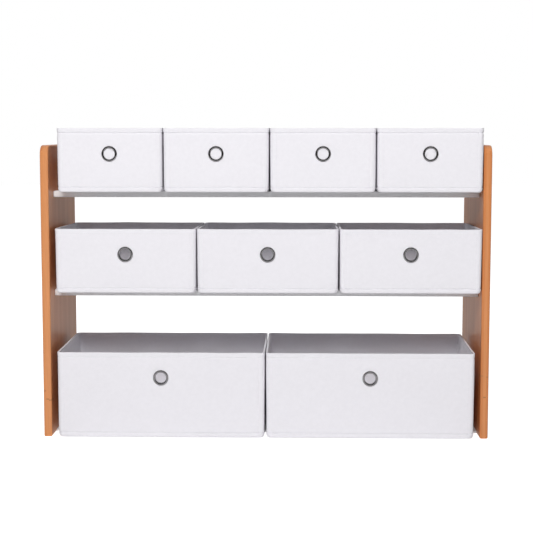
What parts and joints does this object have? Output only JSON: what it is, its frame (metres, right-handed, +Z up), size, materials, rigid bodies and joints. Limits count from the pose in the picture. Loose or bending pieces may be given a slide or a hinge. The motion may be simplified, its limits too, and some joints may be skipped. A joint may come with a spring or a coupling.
{
  "type": "open bin storage unit",
  "caption": "Low open storage unit with wooden side panels, white shelves and soft fabric bins that pull out by a metal eyelet.",
  "frame": {"origin": "centre of the base of the overall box, on the floor", "axes": "+X to the right, +Y to the back, +Z up; the open front faces -Y"},
  "size_m": [0.86, 0.3236, 0.5963],
  "materials": {
    "bamboo": "laminated bamboo board, honey brown, satin clear lacquer",
    "white_board": "fibreboard with a smooth white melamine face",
    "white_cloth": "white non-woven cloth over card, stitched hems",
    "lining_card": "card wrapped in pale non-woven cloth",
    "chromed_brass": "nickel plated eyelet, polished",
    "zinc_steel": "bright zinc plated steel screw"
  },
  "bodies": {
    "frame": {"side_panel_left": "bamboo", "side_panel_right": "bamboo", "shelf_top": "white_board", "shelf_middle": "white_board", "bottom_panel": "white_board", "back_rail_top": "white_board", "back_rail_middle": "white_board", "back_rail_bottom": "white_board", "shelf_screw_top_left_front": "zinc_steel", "shelf_screw_top_left_back": "zinc_steel", "shelf_screw_top_right_front": "zinc_steel", "shelf_screw_top_right_back": "zinc_steel", "shelf_screw_middle_left_front": "zinc_steel", "shelf_screw_middle_left_back": "zinc_steel", "shelf_screw_middle_right_front": "zinc_steel", "shelf_screw_middle_right_back": "zinc_steel", "rail_screw_top_left": "zinc_steel", "rail_screw_top_right": "zinc_steel", "rail_screw_middle_left": "zinc_steel", "rail_screw_middle_right": "zinc_steel", "rail_screw_bottom_left": "zinc_steel", "rail_screw_bottom_right": "zinc_steel", "bottom_screw_left": "zinc_steel", "bottom_screw_right": "zinc_steel"},
    "bin_top_1": {"bin_top_1": "white_cloth", "eyelet_top_1": "chromed_brass", "eyelet_washer_top_1": "chromed_brass"},
    "base_board_top_1": {"base_board_top_1": "lining_card"},
    "bin_top_2": {"bin_top_2": "white_cloth", "eyelet_top_2": "chromed_brass", "eyelet_washer_top_2": "chromed_brass"},
    "base_board_top_2": {"base_board_top_2": "lining_card"},
    "bin_top_3": {"bin_top_3": "white_cloth", "eyelet_top_3": "chromed_brass", "eyelet_washer_top_3": "chromed_brass"},
    "base_board_top_3": {"base_board_top_3": "lining_card"},
    "bin_top_4": {"bin_top_4": "white_cloth", "eyelet_top_4": "chromed_brass", "eyelet_washer_top_4": "chromed_brass"},
    "base_board_top_4": {"base_board_top_4": "lining_card"},
    "bin_middle_1": {"bin_middle_1": "white_cloth", "eyelet_middle_1": "chromed_brass", "eyelet_washer_middle_1": "chromed_brass"},
    "base_board_middle_1": {"base_board_middle_1": "lining_card"},
    "bin_middle_2": {"bin_middle_2": "white_cloth", "eyelet_middle_2": "chromed_brass", "eyelet_washer_middle_2": "chromed_brass"},
    "base_board_middle_2": {"base_board_middle_2": "lining_card"},
    "bin_middle_3": {"bin_middle_3": "white_cloth", "eyelet_middle_3": "chromed_brass", "eyelet_washer_middle_3": "chromed_brass"},
    "base_board_middle_3": {"base_board_middle_3": "lining_card"},
    "bin_bottom_1": {"bin_bottom_1": "white_cloth", "eyelet_bottom_1": "chromed_brass", "eyelet_washer_bottom_1": "chromed_brass"},
    "base_board_bottom_1": {"base_board_bottom_1": "lining_card"},
    "bin_bottom_2": {"bin_bottom_2": "white_cloth", "eyelet_bottom_2": "chromed_brass", "eyelet_washer_bottom_2": "chromed_brass"},
    "base_board_bottom_2": {"base_board_bottom_2": "lining_card"}
  },
  "joints": [
    {"name": "slide_top_1", "type": "slide", "parent": "frame", "child": "bin_top_1", "axis": [0, -1, 0], "range_m": [-0.048, 0.26]},
    {"name": "lift_top_1", "type": "slide", "parent": "bin_top_1", "child": "base_board_top_1", "axis": [0, 0, 1], "range_m": [0, 0.13]},
    {"name": "slide_top_2", "type": "slide", "parent": "frame", "child": "bin_top_2", "axis": [0, -1, 0], "range_m": [-0.048, 0.26]},
    {"name": "lift_top_2", "type": "slide", "parent": "bin_top_2", "child": "base_board_top_2", "axis": [0, 0, 1], "range_m": [0, 0.13]},
    {"name": "slide_top_3", "type": "slide", "parent": "frame", "child": "bin_top_3", "axis": [0, -1, 0], "range_m": [-0.048, 0.26]},
    {"name": "lift_top_3", "type": "slide", "parent": "bin_top_3", "child": "base_board_top_3", "axis": [0, 0, 1], "range_m": [0, 0.13]},
    {"name": "slide_top_4", "type": "slide", "parent": "frame", "child": "bin_top_4", "axis": [0, -1, 0], "range_m": [-0.048, 0.26]},
    {"name": "lift_top_4", "type": "slide", "parent": "bin_top_4", "child": "base_board_top_4", "axis": [0, 0, 1], "range_m": [0, 0.13]},
    {"name": "slide_middle_1", "type": "slide", "parent": "frame", "child": "bin_middle_1", "axis": [0, -1, 0], "range_m": [-0.044, 0.26]},
    {"name": "lift_middle_1", "type": "slide", "parent": "bin_middle_1", "child": "base_board_middle_1", "axis": [0, 0, 1], "range_m": [0, 0.128]},
    {"name": "slide_middle_2", "type": "slide", "parent": "frame", "child": "bin_middle_2", "axis": [0, -1, 0], "range_m": [-0.044, 0.26]},
    {"name": "lift_middle_2", "type": "slide", "parent": "bin_middle_2", "child": "base_board_middle_2", "axis": [0, 0, 1], "range_m": [0, 0.128]},
    {"name": "slide_middle_3", "type": "slide", "parent": "frame", "child": "bin_middle_3", "axis": [0, -1, 0], "range_m": [-0.044, 0.26]},
    {"name": "lift_middle_3", "type": "slide", "parent": "bin_middle_3", "child": "base_board_middle_3", "axis": [0, 0, 1], "range_m": [0, 0.128]},
    {"name": "slide_bottom_1", "type": "slide", "parent": "frame", "child": "bin_bottom_1", "axis": [0, -1, 0], "range_m": [-0.056, 0.26]},
    {"name": "lift_bottom_1", "type": "slide", "parent": "bin_bottom_1", "child": "base_board_bottom_1", "axis": [0, 0, 1], "range_m": [0, 0.175]},
    {"name": "slide_bottom_2", "type": "slide", "parent": "frame", "child": "bin_bottom_2", "axis": [0, -1, 0], "range_m": [-0.056, 0.26]},
    {"name": "lift_bottom_2", "type": "slide", "parent": "bin_bottom_2", "child": "base_board_bottom_2", "axis": [0, 0, 1], "range_m": [0, 0.175]}
  ]
}
